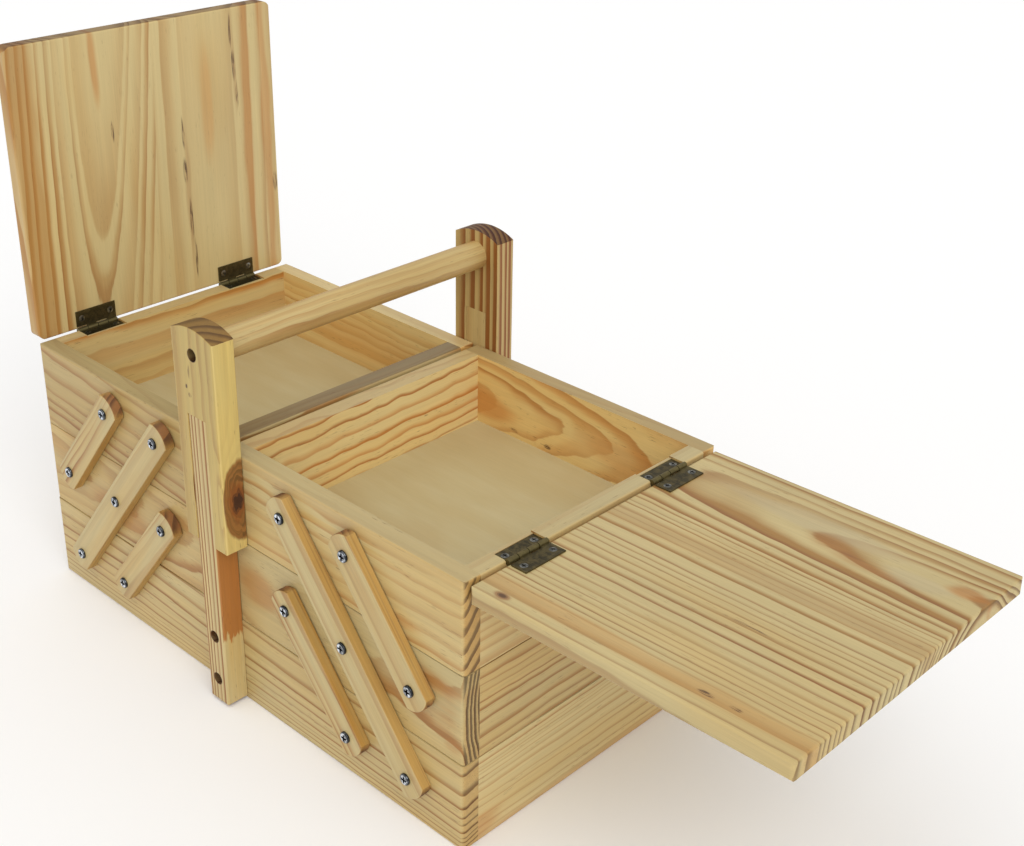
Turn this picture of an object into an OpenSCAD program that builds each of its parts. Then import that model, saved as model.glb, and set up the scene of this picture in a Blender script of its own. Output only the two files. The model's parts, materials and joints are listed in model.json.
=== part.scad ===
// Three-tier pine compartment box with cantilever trays.
// The base runs the full length. Two middle trays and two top trays stand on it,
// split at the middle. Wooden links on the front and the back carry the trays
// outwards and level. Each top tray has a hinged lid, and a fixed handle with a
// round bar stands over the middle.
// X runs along the length, -Y is the front, Z is up, and the origin is the
// middle of the underside of the base. Drawn with the trays pushed together,
// the left lid standing open and the right lid lying open. Millimetres.

/* [Box] */
// Overall length of the box, end face to end face
box_l = 412; // [396:2:440]
// Width of the base over its front and back boards
base_w = 213.6; // [200:0.2:230]
// Height of one tier
tier_h = 60; // [58:1:66]
// Gap between two stacked tiers
tier_gap = 0.3; // [0.2:0.1:0.6]
// Gap between the left and the right trays
centre_gap = 3.5; // [1:0.5:4]
// Clearance between a tray and the handle post beside it
post_gap = 0.4; // [0.3:0.1:0.8]

/* [Boards] */
// Thickness of the front and back boards
long_t = 12; // [11:0.5:14]
// Thickness of the outer end boards
end_t = 11.5; // [11.5:0.5:14]
// Thickness of the inner end boards of the trays
inner_t = 13; // [10:0.5:14]
// Thickness of the plywood floors
floor_t = 4; // [3:0.5:5]
// Height of a tray floor's underside above the lower edge of its boards
floor_lift = 6; // [4:0.5:10]
// Depth of the grooves that hold the floors
groove_d = 4; // [2:0.5:5]
// Rounding of the outer upright corners
rim_r = 3; // [1.5:0.5:4]
// Rounding of the top trays' outer rims
rim_edge_r = 1.4; // [0.8:0.1:3]
// Easing of the long edges where two tiers meet
seam_r = 0.6; // [0.4:0.1:1.2]

/* [Lids] */
// Length of a lid, hinge edge to free edge
lid_l = 201; // [190:1:202]
// Width of a lid
lid_w = 208.6; // [190:0.2:208.6]
// Thickness of a lid
lid_t = 11; // [9:0.5:12]
// Radius of the left lid's corners in plan
lid_corner_r = 6.5; // [3:0.5:9]
// Radius of the right lid's corners in plan
right_corner_r = 3; // [3:0.5:9]
// Rounding of a lid's edges
lid_edge_r = 1.5; // [1:0.5:3]
// Height of a closed lid's inner face above the rim
lid_gap = 0.3; // [0.2:0.1:0.5]
// Angle at which the left lid stands, 0 is closed
left_lid_open = 90; // [0:1:179]
// Angle at which the right lid lies, 0 is closed
right_lid_open = 179; // [0:1:179]

/* [Linkage] */
// Distance of the innermost pivots from the middle of the box
pivot_in = 63; // [56:1:66]
// Step outwards from one pivot of a link to the next
pivot_dx = 52; // [48:0.5:52]
// Step upwards from one pivot of a link to the next
pivot_dz = 63.5; // [62:0.5:64]
// Height of the lowest pivots
pivot_z = 33.5; // [30:0.5:35]
// Offset of the short upper link from the long link
upper_dx = 56; // [50:1:58]
// Width of a link
link_w = 20; // [16:0.5:22]
// Thickness of a link
link_t = 7; // [6:0.5:9]
// Length of a link beyond its last pivot
link_end = 13; // [11:0.5:14]
// Radius of the bowed ends of a link
link_arc = 14; // [13:0.5:20]
// Easing of a link's outer edges
link_edge_r = 0.9; // [0.5:0.1:1.5]
// Gap between a link and the face of the base
link_gap = 0.3; // [0.2:0.1:0.6]

/* [Screws] */
// Shank diameter of the pivot and handle screws
screw_d = 4; // [3.5:0.1:4.5]
// Head diameter of the pivot screws
head_d = 7.5; // [7:0.1:9]
// Head height of the pivot screws
head_h = 1.6; // [1.6:0.1:3]
// Length of a pivot screw under its head
pivot_screw_l = 18; // [16:0.5:18.5]
// Radial clearance of a link's holes around the screws
pivot_clear = 0.09; // [0.05:0.01:0.1]

/* [Hinges] */
// Distance of a hinge's middle from the middle of the box
hinge_y = 60; // [45:1:70]
// Length of a hinge
hinge_l = 31; // [27:0.5:35]
// Reach of the leaf in the rim, from the hinge axis
leaf_rim = 10.2; // [9.4:0.1:10.4]
// Reach of the leaf on the lid, from the hinge axis
leaf_lid = 13.8; // [12.5:0.1:16]
// Thickness of a leaf
leaf_t = 0.9; // [0.7:0.1:1]
// Thickness of a closed hinge
fold_t = 2.4; // [2.3:0.1:2.6]
// Diameter of the knuckles
knuckle_d = 3.5; // [3.3:0.1:3.6]
// Diameter of the hinge pin
pin_d = 1.8; // [1.5:0.1:1.9]
// Distance of the hinge axis outside the end face
hinge_out = 0.7; // [0.7:0.1:0.9]

/* [Handle] */
// Width of the lower posts and of the slot in the upper posts
post_w = 18; // [16:0.5:20]
// Width of the upper posts
upper_w = 40; // [36:1:44]
// Thickness of the posts
post_t = 15.5; // [14:0.5:18]
// Height of the lower posts' foot above the ground
post_z0 = 1.5; // [1:0.5:4]
// Height of the lower posts' top end, in the slot
slot_z = 205; // [190:1:215]
// Height of the upper posts' lower end
upper_z0 = 119; // [110:1:130]
// Height of the upper posts at their sides
upper_z1 = 257; // [255:1:270]
// Rise of the bowed top over its sides
arch = 5; // [3:0.5:8]
// Diameter of the grip bar
bar_d = 19; // [16:0.5:20]
// Height of the grip bar's axis
bar_z = 245; // [242:0.5:246]
// Rounding of the posts' upright edges
post_edge_r = 1.6; // [0.8:0.1:2.5]
// Diameter of the counterbores in the posts
cbore_d = 8; // [7.6:0.1:9]
// Depth of the counterbores
cbore_h = 6; // [4:0.5:8]

/* [Hidden] */
$fn = 48;

pine = [0.86, 0.72, 0.46];
pine_pale = [0.89, 0.77, 0.53];
pine_link = [0.83, 0.68, 0.42];
ply = [0.85, 0.76, 0.56];
zinc = [0.72, 0.75, 0.8];
bronze = [0.35, 0.29, 0.16];

tray_w = base_w - 2 * post_gap;
x_end = box_l / 2;
x_in = centre_gap / 2;
z_rim = 3 * tier_h;
face_y = base_w / 2;
link_y = face_y + link_gap;
seat_y = link_y + link_t + 0.1;
hinge_x = x_end + hinge_out;
hinge_z = z_rim + lid_gap - fold_t / 2;
knuckle_n = 4;
knuckle_gap = 0.5;
knuckle_slot = 1;
knuckle_l = (hinge_l - (knuckle_n - 1) * knuckle_gap) / knuckle_n;
hinge_screw_y = hinge_l / 2 - 4.2;
rim_screw_x = leaf_rim / 2 + 0.6;
lid_screw_x = leaf_lid * 0.6;

// Pivots as [distance from the middle, height], by the tier that holds the screw
function pivot(i, j) = [pivot_in + i * pivot_dx, pivot_z + j * pivot_dz];
base_pivots = [pivot(2, 0), pivot(1, 0)];
mid_pivots = [pivot(1, 1), pivot(1, 1) + [upper_dx, 0], pivot(0, 1)];
top_pivots = [pivot(0, 2), pivot(0, 2) + [upper_dx, 0]];

module left() mirror([1, 0, 0]) children();
module back() mirror([0, 1, 0]) children();
module both_ways() { children(); back() children(); }

// ---- Rounded outlines ----

// What a radius r takes off the corner at (x, y); sx and sy point into the shape
module nip(x, y, sx, sy, r) if (r > 0) difference() {
  translate([sx > 0 ? x - 1 : x - r, sy > 0 ? y - 1 : y - r]) square([r + 1, r + 1]);
  translate([x + sx * r, y + sy * r]) circle(r);
}
// Rectangle with a radius of its own at each corner, anticlockwise from (x0, y0)
module rounded(x0, y0, x1, y1, r) difference() {
  translate([x0, y0]) square([x1 - x0, y1 - y0]);
  nip(x0, y0, 1, 1, r[0]);
  nip(x1, y0, -1, 1, r[1]);
  nip(x1, y1, -1, -1, r[2]);
  nip(x0, y1, 1, -1, r[3]);
}
// Block from (x0, -w/2, z0) to (x1, w/2, z1) with eased edges:
// c = upright corners [inner, outer], t = top edges [inner, outer, sides], b = bottom edges
module eased(x0, x1, w, z0, z1, c, t, b) intersection() {
  translate([0, 0, z0]) linear_extrude(z1 - z0)
    rounded(x0, -w / 2, x1, w / 2, [c[0], c[1], c[1], c[0]]);
  translate([0, w / 2 + 1, 0]) rotate([90, 0, 0]) linear_extrude(w + 2)
    rounded(x0, z0, x1, z1, [b[0], b[1], t[1], t[0]]);
  translate([x0 - 1, 0, 0]) rotate([90, 0, 90]) linear_extrude(x1 - x0 + 2)
    rounded(-w / 2, z0, w / 2, z1, [b[2], b[2], t[2], t[2]]);
}

// ---- Screws ----

// Cross recess sunk from z = 0
module cross(len, wid, dep) {
  translate([-len / 2, -wid / 2, -dep]) cube([len, wid, dep + 5]);
  translate([-wid / 2, -len / 2, -dep]) cube([wid, len, dep + 5]);
}
// Pan-head screw along Z, its seat at z = 0 and its point at z = -len
module pan_screw(len, hd, hh) difference() {
  union() {
    rotate_extrude() difference() {
      square([hd / 2, hh]);
      nip(hd / 2, hh, -1, -1, hh * 0.62);
    }
    translate([0, 0, -len + 3]) cylinder(h = len - 2, d = screw_d);
    translate([0, 0, -len]) cylinder(h = 3, r1 = 0.5, r2 = screw_d / 2);
  }
  translate([0, 0, hh]) cross(4.4, 1.3, min(1.5, hh - 0.5));
}
// Shape of a countersunk hinge screw down to z = -len, seated at z = 0, g larger all over
module csk_body(len, g) {
  translate([0, 0, -1.2]) cylinder(h = 1.2, r1 = 1.15 + g, r2 = 2.35 + g);
  translate([0, 0, -len]) cylinder(h = len - 0.2, r = 1.15 + g);
}
module csk_room() csk_body(9.6, 0.03);
module csk_screw() difference() {
  union() {
    csk_body(8, 0);
    translate([0, 0, -9.5]) cylinder(h = 1.6, r1 = 0.4, r2 = 1.15);
    intersection() {
      translate([0, 0, -10.93]) sphere(11.18, $fn = 64);
      translate([0, 0, -0.3]) cylinder(h = 1, r1 = 1.95, r2 = 2.95);
    }
  }
  translate([0, 0, 0.25]) cross(2.7, 0.6, 0.9);
}
// Moves a shape made along Z so that its seat is on the front at depth y, pointing inwards
module on_front(p, y) translate([p[0], -y, p[1]]) rotate([90, 0, 0]) children();

// Pivot screws of one tier's front and back, and the pilot holes they need
module pivot_screws(list) for (p = list) both_ways()
  on_front(p, seat_y) pan_screw(pivot_screw_l, head_d, head_h);
module pilots(list) for (p = list) both_ways()
  on_front(p, seat_y) translate([0, 0, -pivot_screw_l - 0.05]) cylinder(h = pivot_screw_l, r = screw_d / 2 + 0.02);

// ---- Tiers ----

// Half of a tier's outline: level 0 is the base, 1 the middle, 2 the top
function tier_z0(l) = l == 0 ? 0 : l * tier_h + tier_gap;
function tier_z1(l) = (l + 1) * tier_h;
module tier(l) {
  if (l == 0)
    eased(-x_end, x_end, base_w, 0, tier_h, [rim_r, rim_r], [seam_r, seam_r, seam_r], [1.5, 1.5, 1.5]);
  if (l == 1)
    eased(x_in, x_end, tray_w, tier_z0(1), tier_z1(1), [1, rim_r], [seam_r, seam_r, seam_r], [seam_r, seam_r, seam_r]);
  if (l == 2)
    eased(x_in, x_end, tray_w, tier_z0(2), tier_z1(2), [1, rim_r], [rim_edge_r + 0.2, rim_edge_r, rim_edge_r], [seam_r, seam_r, seam_r]);
}
// Room for the plywood floor, in grooves round the tray, or in a rebate under the base
module floor_room(l, g) {
  w = l == 0 ? base_w : tray_w;
  z = l == 0 ? 0 : tier_z0(l) + floor_lift;
  a = l == 0 ? -x_end + end_t : x_in + inner_t;
  b = x_end - end_t;
  y = w / 2 - long_t;
  translate([a - groove_d + g, -y - groove_d + g, l == 0 && g == 0 ? -1 : z])
    cube([b - a + 2 * groove_d - 2 * g, 2 * (y + groove_d - g), floor_t + (l == 0 && g == 0 ? 1 : 0)]);
}
// Front board; back() turns it into the back board
module long_board(l, list) difference() {
  intersection() {
    tier(l);
    translate([-x_end - 1, -base_w, -1])
      cube([2 * x_end + 2, base_w - (l == 0 ? base_w : tray_w) / 2 + long_t, z_rim + 2]);
  }
  floor_room(l, 0);
  for (p = list) on_front(p, seat_y) translate([0, 0, -pivot_screw_l - 0.05])
    cylinder(h = pivot_screw_l, r = screw_d / 2 + 0.02);
}
// Board across the box from x = a to x = b
module cross_board(l, a, b) difference() {
  y = (l == 0 ? base_w : tray_w) / 2 - long_t;
  intersection() {
    tier(l);
    translate([a, -y, -1]) cube([b - a, 2 * y, z_rim + 2]);
  }
  floor_room(l, 0);
}
module outer_board(l) cross_board(l, x_end - end_t, x_end + 1);
module inner_board(l) cross_board(l, x_in - 1, x_in + inner_t);
module base_long_board() difference() {
  long_board(0, base_pivots);
  for (p = base_pivots) left() on_front(p, seat_y) translate([0, 0, -pivot_screw_l - 0.05])
    cylinder(h = pivot_screw_l, r = screw_d / 2 + 0.02);
  for (z = post_screw_z) on_front([0, z], face_y + post_t - cbore_h) translate([0, 0, -post_screw_l - 0.05])
    cylinder(h = post_screw_l, r = screw_d / 2 + 0.02);
}

// ---- Lids and hinges, drawn closed on the right and then swung open ----

module swing(a) translate([hinge_x, 0, hinge_z]) rotate([0, a, 0]) translate([-hinge_x, 0, -hinge_z]) children();
module at_hinges() for (y = [-hinge_y, hinge_y]) translate([0, y, 0]) children();
module about_axis(y0, len, r) translate([hinge_x, y0 + len, hinge_z]) rotate([90, 0, 0]) cylinder(h = len, r = r);
module barrel_room() about_axis(-hinge_l / 2 - 0.25, hinge_l + 0.5, knuckle_d / 2 + 0.35);
// Outer board of a top tray, cut for the hinges
module hinged_board() difference() {
  outer_board(2);
  at_hinges() {
    translate([hinge_x - leaf_rim - 0.2, -hinge_l / 2 - 0.25, hinge_z - fold_t / 2])
      cube([leaf_rim + 5, hinge_l + 0.5, 20]);
    translate([hinge_x - leaf_lid - 5, -hinge_l / 2 - 0.25, hinge_z + fold_t / 2 - leaf_t - 0.4])
      cube([leaf_lid + 5, hinge_l + 0.5, 20]);
    barrel_room();
    tray_screw_places() csk_room();
  }
}
module tray_screw_places() for (s = [-1, 1])
  translate([hinge_x - rim_screw_x, s * hinge_screw_y, hinge_z - fold_t / 2 + leaf_t]) children();
module lid_screw_places() for (s = [-1, 1])
  translate([hinge_x - lid_screw_x, s * hinge_screw_y, hinge_z + fold_t / 2 - leaf_t]) rotate([180, 0, 0]) children();
module lid_board(r) difference() {
  eased(x_end - lid_l, x_end, lid_w, z_rim + lid_gap, z_rim + lid_gap + lid_t,
        [r, r], [lid_edge_r, lid_edge_r, lid_edge_r], [lid_edge_r, lid_edge_r, lid_edge_r]);
  at_hinges() {
    barrel_room();
    lid_screw_places() csk_room();
  }
}
// One leaf: reach r from the axis, plate between z0 and z1, knuckles k of the four
module leaf(r, z0, z1, k) difference() {
  union() {
    translate([hinge_x - r, -hinge_l / 2, z0]) cube([r - knuckle_d / 2 - knuckle_slot, hinge_l, z1 - z0]);
    for (i = k) {
      y0 = -hinge_l / 2 + i * (knuckle_l + knuckle_gap);
      translate([hinge_x - knuckle_d / 2 - knuckle_slot - 0.1, y0, z0])
        cube([knuckle_d / 2 + knuckle_slot + 0.1, knuckle_l, z1 - z0]);
      about_axis(y0, knuckle_l, knuckle_d / 2);
    }
  }
  about_axis(-hinge_l, 2 * hinge_l, pin_d / 2 + 0.05);
}
module tray_leaves() at_hinges() difference() {
  leaf(leaf_rim, hinge_z - fold_t / 2, hinge_z - fold_t / 2 + leaf_t, [0, 2]);
  tray_screw_places() csk_room();
}
module lid_leaves() at_hinges() difference() {
  leaf(leaf_lid, hinge_z + fold_t / 2 - leaf_t, hinge_z + fold_t / 2, [1, 3]);
  lid_screw_places() csk_room();
}
module hinge_pins() at_hinges() about_axis(-hinge_l / 2, hinge_l, pin_d / 2);

// ---- Links ----

// Link from pivot a to pivot b with holes at the listed pivots
module link(a, b, holes) {
  d = norm(b - a);
  ang = atan2(b[1] - a[1], b[0] - a[0]);
  c = link_end - link_arc;
  on_front([0, 0], link_y) difference() {
    translate([a[0], a[1], 0]) rotate([0, 0, ang]) intersection() {
      translate([-link_end - 1, 0, 0]) rotate([90, 0, 90]) linear_extrude(d + 2 * link_end + 2)
        rounded(-link_w / 2, 0, link_w / 2, link_t, [0, 0, link_edge_r, link_edge_r]);
      union() {
        for (x = [-c, d + c]) translate([x, 0, 0]) bowed_disc();
        translate([-c, -link_w, 0]) cube([d + 2 * c, 2 * link_w, link_t]);
      }
    }
    for (p = holes) translate([p[0], p[1], -1]) cylinder(h = link_t + 2, r = screw_d / 2 + pivot_clear);
  }
}
module bowed_disc() rotate_extrude($fn = 72) difference() {
  square([link_arc, link_t]);
  nip(link_arc, link_t, -1, -1, link_edge_r);
}
module long_link() link(pivot(2, 0), pivot(0, 2), [pivot(2, 0), pivot(1, 1), pivot(0, 2)]);
module upper_link() link(mid_pivots[1], top_pivots[1], [mid_pivots[1], top_pivots[1]]);
module lower_link() link(base_pivots[1], mid_pivots[2], [base_pivots[1], mid_pivots[2]]);

// ---- Handle ----

post_screw_z = [19, 51];
post_screw_l = post_t - cbore_h + 9;
bar_screw_l = post_t - cbore_h + 18;
module post_block(w, z0, z1, rb) intersection() {
  translate([0, 0, z0]) linear_extrude(z1 - z0)
    rounded(-w / 2, -face_y - post_t, w / 2, -face_y, [post_edge_r, post_edge_r, 0.6, 0.6]);
  translate([-w, 0, 0]) rotate([90, 0, 90]) linear_extrude(2 * w)
    rounded(-face_y - post_t, z0, -face_y, z1, [rb, 0.6, 0, 0]);
  translate([0, 1, 0]) rotate([90, 0, 0]) linear_extrude(face_y + post_t + 2)
    rounded(-w / 2, z0, w / 2, z1, [rb, rb, 0, 0]);
}
module post_hole(z) on_front([0, z], face_y + post_t) {
  translate([0, 0, -cbore_h]) cylinder(h = cbore_h + 1, d = cbore_d);
  translate([0, 0, -post_t - 1]) cylinder(h = post_t, r = screw_d / 2 + 0.05);
}
module lower_post() difference() {
  post_block(post_w, post_z0, slot_z, 2);
  for (z = post_screw_z) post_hole(z);
}
module upper_post() difference() {
  intersection() {
    post_block(upper_w, upper_z0, upper_z1 + arch + 1, 0.8);
    union() {
      translate([0, -face_y, upper_z1 + arch - arch_r]) rotate([90, 0, 0]) rotate_extrude($fn = 120) difference() {
        square([arch_r, post_t]);
        nip(arch_r, post_t, -1, -1, 1);
      }
      translate([-upper_w, -face_y - post_t, 0]) cube([2 * upper_w, post_t, upper_z1 + arch - arch_r]);
    }
  }
  translate([-post_w / 2 - 0.05, -face_y - post_t - 1, 0]) cube([post_w + 0.1, post_t + 2, slot_z + 0.05]);
  post_hole(bar_z);
}
arch_r = (pow(upper_w / 2, 2) + arch * arch) / (2 * arch);
module grip_bar() difference() {
  translate([0, face_y, bar_z]) rotate([90, 0, 0]) cylinder(h = 2 * face_y, d = bar_d, $fn = 72);
  both_ways() on_front([0, bar_z], face_y + post_t - cbore_h) translate([0, 0, -bar_screw_l - 0.05])
    cylinder(h = bar_screw_l, r = screw_d / 2 + 0.02);
}
module post_screws() both_ways() {
  for (z = post_screw_z) on_front([0, z], face_y + post_t - cbore_h) pan_screw(post_screw_l, cbore_d - 0.8, 2.4);
  on_front([0, bar_z], face_y + post_t - cbore_h) pan_screw(bar_screw_l, cbore_d - 0.8, 2.4);
}

// ---- Pieces ----

module base_front_board() color(pine) base_long_board();
module base_back_board() color(pine) back() base_long_board();
module base_left_board() color(pine_pale) left() outer_board(0);
module base_right_board() color(pine_pale) outer_board(0);
module base_floor() color(ply) floor_room(0, 0.1);

module left_mid_tray_front() color(pine) left() long_board(1, mid_pivots);
module left_mid_tray_back() color(pine) left() back() long_board(1, mid_pivots);
module left_mid_tray_outer() color(pine_pale) left() outer_board(1);
module left_mid_tray_inner() color(pine_pale) left() inner_board(1);
module left_mid_tray_floor() color(ply) left() floor_room(1, 0.1);
module right_mid_tray_front() color(pine) long_board(1, mid_pivots);
module right_mid_tray_back() color(pine) back() long_board(1, mid_pivots);
module right_mid_tray_outer() color(pine_pale) outer_board(1);
module right_mid_tray_inner() color(pine_pale) inner_board(1);
module right_mid_tray_floor() color(ply) floor_room(1, 0.1);

module left_top_tray_front() color(pine) left() long_board(2, top_pivots);
module left_top_tray_back() color(pine) left() back() long_board(2, top_pivots);
module left_top_tray_outer() color(pine_pale) left() hinged_board();
module left_top_tray_inner() color(pine_pale) left() inner_board(2);
module left_top_tray_floor() color(ply) left() floor_room(2, 0.1);
module right_top_tray_front() color(pine) long_board(2, top_pivots);
module right_top_tray_back() color(pine) back() long_board(2, top_pivots);
module right_top_tray_outer() color(pine_pale) hinged_board();
module right_top_tray_inner() color(pine_pale) inner_board(2);
module right_top_tray_floor() color(ply) floor_room(2, 0.1);

module left_lid() color(pine) left() swing(left_lid_open) lid_board(lid_corner_r);
module right_lid() color(pine) swing(right_lid_open) lid_board(right_corner_r);

module left_hinge_tray_leaves() color(bronze) left() tray_leaves();
module left_hinge_lid_leaves() color(bronze) left() swing(left_lid_open) lid_leaves();
module left_hinge_pins() color(bronze) left() hinge_pins();
module right_hinge_tray_leaves() color(bronze) tray_leaves();
module right_hinge_lid_leaves() color(bronze) swing(right_lid_open) lid_leaves();
module right_hinge_pins() color(bronze) hinge_pins();
module left_hinge_tray_screws() color(zinc) left() at_hinges() tray_screw_places() csk_screw();
module left_hinge_lid_screws() color(zinc) left() swing(left_lid_open) at_hinges() lid_screw_places() csk_screw();
module right_hinge_tray_screws() color(zinc) at_hinges() tray_screw_places() csk_screw();
module right_hinge_lid_screws() color(zinc) swing(right_lid_open) at_hinges() lid_screw_places() csk_screw();

module left_front_long_link() color(pine_link) left() long_link();
module left_front_upper_link() color(pine_link) left() upper_link();
module left_front_lower_link() color(pine_link) left() lower_link();
module left_back_long_link() color(pine_link) left() back() long_link();
module left_back_upper_link() color(pine_link) left() back() upper_link();
module left_back_lower_link() color(pine_link) left() back() lower_link();
module right_front_long_link() color(pine_link) long_link();
module right_front_upper_link() color(pine_link) upper_link();
module right_front_lower_link() color(pine_link) lower_link();
module right_back_long_link() color(pine_link) back() long_link();
module right_back_upper_link() color(pine_link) back() upper_link();
module right_back_lower_link() color(pine_link) back() lower_link();

module base_pivot_screws() color(zinc) { pivot_screws(base_pivots); left() pivot_screws(base_pivots); }
module left_mid_pivot_screws() color(zinc) left() pivot_screws(mid_pivots);
module right_mid_pivot_screws() color(zinc) pivot_screws(mid_pivots);
module left_top_pivot_screws() color(zinc) left() pivot_screws(top_pivots);
module right_top_pivot_screws() color(zinc) pivot_screws(top_pivots);

module front_lower_post() color(pine_link) lower_post();
module back_lower_post() color(pine_link) back() lower_post();
module front_upper_post() color(pine) upper_post();
module back_upper_post() color(pine) back() upper_post();
module handle_bar() color(pine_pale) grip_bar();
module handle_screws() color(bronze) post_screws();

base_front_board();
base_back_board();
base_left_board();
base_right_board();
base_floor();
left_mid_tray_front();
left_mid_tray_back();
left_mid_tray_outer();
left_mid_tray_inner();
left_mid_tray_floor();
right_mid_tray_front();
right_mid_tray_back();
right_mid_tray_outer();
right_mid_tray_inner();
right_mid_tray_floor();
left_top_tray_front();
left_top_tray_back();
left_top_tray_outer();
left_top_tray_inner();
left_top_tray_floor();
right_top_tray_front();
right_top_tray_back();
right_top_tray_outer();
right_top_tray_inner();
right_top_tray_floor();
left_lid();
right_lid();
left_hinge_tray_leaves();
left_hinge_lid_leaves();
left_hinge_pins();
right_hinge_tray_leaves();
right_hinge_lid_leaves();
right_hinge_pins();
left_hinge_tray_screws();
left_hinge_lid_screws();
right_hinge_tray_screws();
right_hinge_lid_screws();
left_front_long_link();
left_front_upper_link();
left_front_lower_link();
left_back_long_link();
left_back_upper_link();
left_back_lower_link();
right_front_long_link();
right_front_upper_link();
right_front_lower_link();
right_back_long_link();
right_back_upper_link();
right_back_lower_link();
base_pivot_screws();
left_mid_pivot_screws();
right_mid_pivot_screws();
left_top_pivot_screws();
right_top_pivot_screws();
front_lower_post();
back_lower_post();
front_upper_post();
back_upper_post();
handle_bar();
handle_screws();
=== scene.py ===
"""Looks of the three-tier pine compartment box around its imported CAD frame."""

import json
import math

import bmesh
import bpy
from mathutils import Matrix, Vector

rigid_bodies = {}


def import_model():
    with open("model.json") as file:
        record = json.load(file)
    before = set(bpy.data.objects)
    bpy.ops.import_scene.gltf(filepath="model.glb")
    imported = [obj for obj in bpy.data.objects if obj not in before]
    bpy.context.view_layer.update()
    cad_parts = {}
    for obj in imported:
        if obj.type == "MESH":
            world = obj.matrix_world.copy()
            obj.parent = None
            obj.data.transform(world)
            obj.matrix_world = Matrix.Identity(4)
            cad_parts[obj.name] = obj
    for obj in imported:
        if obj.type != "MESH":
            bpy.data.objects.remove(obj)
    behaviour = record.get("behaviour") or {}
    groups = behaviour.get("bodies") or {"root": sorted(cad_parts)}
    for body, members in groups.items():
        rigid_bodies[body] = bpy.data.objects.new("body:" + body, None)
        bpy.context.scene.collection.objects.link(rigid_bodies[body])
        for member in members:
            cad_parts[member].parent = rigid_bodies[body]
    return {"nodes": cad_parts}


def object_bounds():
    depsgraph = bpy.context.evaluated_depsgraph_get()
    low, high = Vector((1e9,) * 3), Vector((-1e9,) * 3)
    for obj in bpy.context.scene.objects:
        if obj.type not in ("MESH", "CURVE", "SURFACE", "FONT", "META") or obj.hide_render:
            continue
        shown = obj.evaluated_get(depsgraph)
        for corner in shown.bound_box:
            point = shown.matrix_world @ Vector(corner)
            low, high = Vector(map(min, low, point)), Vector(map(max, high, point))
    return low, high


for o in list(bpy.data.objects):
    bpy.data.objects.remove(o, do_unlink=True)
scene = bpy.context.scene
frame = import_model()
NODES = frame["nodes"]
cad_lo, cad_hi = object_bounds()

# ---------------------------------------------------------------- camera
# Solved from the photograph's edges in its 1024 x 846 frame
CAM = dict(at=(0.6783991, -0.5715912, 0.6187687), yaw=43.1667, pitch=-25.8509,
           roll=1.1558, f=1535.1512, cx=519.6869, cy=377.7852)


def photo_camera():
    yaw, pitch, roll = (math.radians(CAM[k]) for k in ("yaw", "pitch", "roll"))
    d = Vector((-math.sin(yaw) * math.cos(pitch), math.cos(yaw) * math.cos(pitch), math.sin(pitch)))
    r = Vector((math.cos(yaw), math.sin(yaw), 0))
    u = r.cross(d)
    right = r * math.cos(roll) + u * math.sin(roll)
    up = u * math.cos(roll) - r * math.sin(roll)
    m = Matrix.Identity(4)
    for i in range(3):
        m[i][0], m[i][1], m[i][2], m[i][3] = right[i], up[i], -d[i], CAM["at"][i]
    data = bpy.data.cameras.new("camera")
    data.sensor_width = 36
    data.lens = CAM["f"] / 1024 * 36
    data.shift_x = (512 - CAM["cx"]) / 1024
    data.shift_y = (CAM["cy"] - 423) / 1024
    data.clip_start, data.clip_end = 0.05, 50
    cam = bpy.data.objects.new("camera", data)
    scene.collection.objects.link(cam)
    cam.matrix_world = m
    scene.camera = cam


photo_camera()

# ---------------------------------------------------------------- shader maths


class Num:
    """A number in a node tree, with Python's operators as Math nodes."""

    def __init__(self, tree, socket):
        self.tree, self.socket = tree, socket

    def __add__(self, o):
        return math_node(self.tree, "ADD", self, o)

    def __radd__(self, o):
        return math_node(self.tree, "ADD", o, self)

    def __sub__(self, o):
        return math_node(self.tree, "SUBTRACT", self, o)

    def __rsub__(self, o):
        return math_node(self.tree, "SUBTRACT", o, self)

    def __mul__(self, o):
        return math_node(self.tree, "MULTIPLY", self, o)

    def __rmul__(self, o):
        return math_node(self.tree, "MULTIPLY", o, self)

    def __truediv__(self, o):
        return math_node(self.tree, "DIVIDE", self, o)

    def __neg__(self):
        return math_node(self.tree, "MULTIPLY", self, -1)


def put(tree, socket, value):
    if isinstance(value, Num):
        tree.links.new(value.socket, socket)
    elif isinstance(value, bpy.types.NodeSocket):
        tree.links.new(value, socket)
    else:
        socket.default_value = value


def math_node(tree, kind, *args):
    n = tree.nodes.new("ShaderNodeMath")
    n.operation = kind
    for i, a in enumerate(args):
        put(tree, n.inputs[i], a)
    return Num(tree, n.outputs[0])


def step(x, lo, hi, a=0.0, b=1.0):
    """Smooth step of x from lo to hi, running from a to b."""
    n = x.tree.nodes.new("ShaderNodeMapRange")
    n.interpolation_type = "SMOOTHSTEP"
    for i, v in enumerate((x, lo, hi, a, b)):
        put(x.tree, n.inputs[i], v)
    return Num(x.tree, n.outputs[0])


def vec(tree, x, y, z):
    n = tree.nodes.new("ShaderNodeCombineXYZ")
    for i, v in enumerate((x, y, z)):
        put(tree, n.inputs[i], v)
    return n.outputs[0]


def split(tree, socket):
    n = tree.nodes.new("ShaderNodeSeparateXYZ")
    tree.links.new(socket, n.inputs[0])
    return [Num(tree, s) for s in n.outputs]


def scaled(tree, socket, scale, shift=(0, 0, 0)):
    n = tree.nodes.new("ShaderNodeVectorMath")
    n.operation = "MULTIPLY_ADD"
    tree.links.new(socket, n.inputs[0])
    n.inputs[1].default_value = scale
    n.inputs[2].default_value = shift
    return n.outputs[0]


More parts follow.
